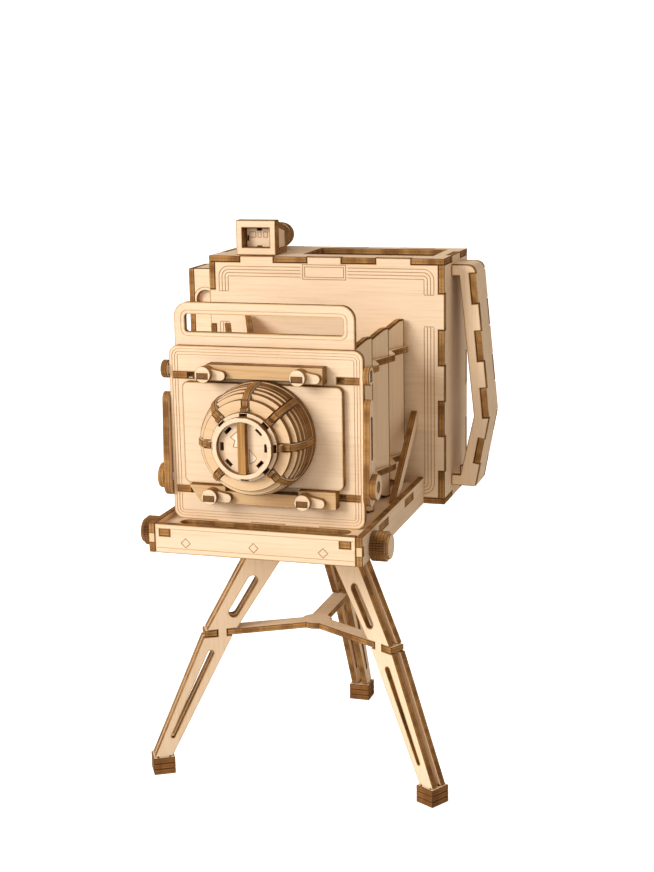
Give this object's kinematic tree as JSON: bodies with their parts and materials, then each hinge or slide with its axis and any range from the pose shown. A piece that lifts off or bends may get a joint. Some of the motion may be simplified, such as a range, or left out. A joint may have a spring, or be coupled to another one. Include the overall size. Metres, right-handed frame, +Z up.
{
  "type": "wooden toy camera",
  "caption": "Laser-cut plywood press camera on a tripod, with stacked-ring lens, pleated bellows, turn buttons, hand strap and an open body that holds pencils.",
  "frame": {"origin": "middle of the bounding box, on the floor that the feet stand on", "axes": "+Z up, the lens looks along -Y, the hand strap is on the +X side"},
  "size_m": [0.1098, 0.1264, 0.186],
  "materials": {
    "pale_wood": "matte",
    "brown_wood": "matte"
  },
  "bodies": {
    "camera": {"body_front": "pale_wood", "body_back": "pale_wood", "body_left": "pale_wood", "body_right": "pale_wood", "body_top": "pale_wood", "body_bottom": "pale_wood", "viewfinder_front": "pale_wood", "viewfinder_box": "pale_wood", "eyepiece": "brown_wood", "side_housing": "pale_wood", "strap_band": "pale_wood", "strap_front": "pale_wood", "strap_back": "pale_wood", "bed_top": "pale_wood", "bed_bottom": "pale_wood", "bed_front": "pale_wood", "bed_rail_left": "pale_wood", "bed_rail_right": "pale_wood", "bed_strut_left": "pale_wood", "bed_strut_right": "pale_wood", "standard_plate": "pale_wood", "frame_finder": "pale_wood", "side_knob_left": "brown_wood", "side_knob_right": "brown_wood", "lens_board": "pale_wood", "clamp_bar_upper": "pale_wood", "clamp_bar_lower": "pale_wood", "lens_rib_cage": "brown_wood", "lens_ring_stack": "pale_wood", "lens_disc": "pale_wood", "lens_front_ring": "pale_wood", "lens_bar": "brown_wood", "bellows_panel_left_1": "pale_wood", "bellows_panel_left_2": "pale_wood", "bellows_panel_left_3": "pale_wood", "bellows_comb_left_lower": "pale_wood", "bellows_comb_left_upper": "pale_wood", "bellows_panel_right_1": "pale_wood", "bellows_panel_right_2": "pale_wood", "bellows_panel_right_3": "pale_wood", "bellows_comb_right_lower": "pale_wood", "bellows_comb_right_upper": "pale_wood", "leg_rear": "pale_wood", "foot_rear": "brown_wood", "leg_left": "pale_wood", "foot_left": "brown_wood", "leg_right": "pale_wood", "foot_right": "brown_wood", "leg_spreader": "pale_wood", "tripod_head": "pale_wood"},
    "focus_drive": {"focus_axle": "brown_wood", "focus_knob_left": "brown_wood", "focus_knob_right": "brown_wood"},
    "turn_button_upper_left": {"turn_button_upper_left": "pale_wood"},
    "turn_button_upper_right": {"turn_button_upper_right": "pale_wood"},
    "turn_button_lower_left": {"turn_button_lower_left": "pale_wood"},
    "turn_button_lower_right": {"turn_button_lower_right": "pale_wood"},
    "tilt_lever_left": {"tilt_lever_left": "brown_wood"},
    "tilt_lever_right": {"tilt_lever_right": "brown_wood"}
  },
  "joints": [
    {"name": "focus_turn", "type": "hinge", "parent": "camera", "child": "focus_drive", "pos_m": [-0.00045, -0.04575, 0.0932], "axis": [1, 0, 0], "continuous": true},
    {"name": "turn_button_upper_left_turn", "type": "hinge", "parent": "camera", "child": "turn_button_upper_left", "pos_m": [-0.01765, -0.05095, 0.1452], "axis": [0, -1, 0], "range_deg": [0, 110]},
    {"name": "turn_button_upper_right_turn", "type": "hinge", "parent": "camera", "child": "turn_button_upper_right", "pos_m": [0.01275, -0.05095, 0.1452], "axis": [0, -1, 0], "range_deg": [0, 110]},
    {"name": "turn_button_lower_left_turn", "type": "hinge", "parent": "camera", "child": "turn_button_lower_left", "pos_m": [-0.01685, -0.05095, 0.1066], "axis": [0, 1, 0], "range_deg": [0, 110]},
    {"name": "turn_button_lower_right_turn", "type": "hinge", "parent": "camera", "child": "turn_button_lower_right", "pos_m": [0.01355, -0.05095, 0.1066], "axis": [0, 1, 0], "range_deg": [0, 110]},
    {"name": "tilt_lever_left_swing", "type": "hinge", "parent": "camera", "child": "tilt_lever_left", "pos_m": [-0.03225, -0.04175, 0.1106], "axis": [1, 0, 0], "range_deg": [-35, 35]},
    {"name": "tilt_lever_right_swing", "type": "hinge", "parent": "camera", "child": "tilt_lever_right", "pos_m": [0.03135, -0.04175, 0.1106], "axis": [1, 0, 0], "range_deg": [-35, 35]}
  ]
}
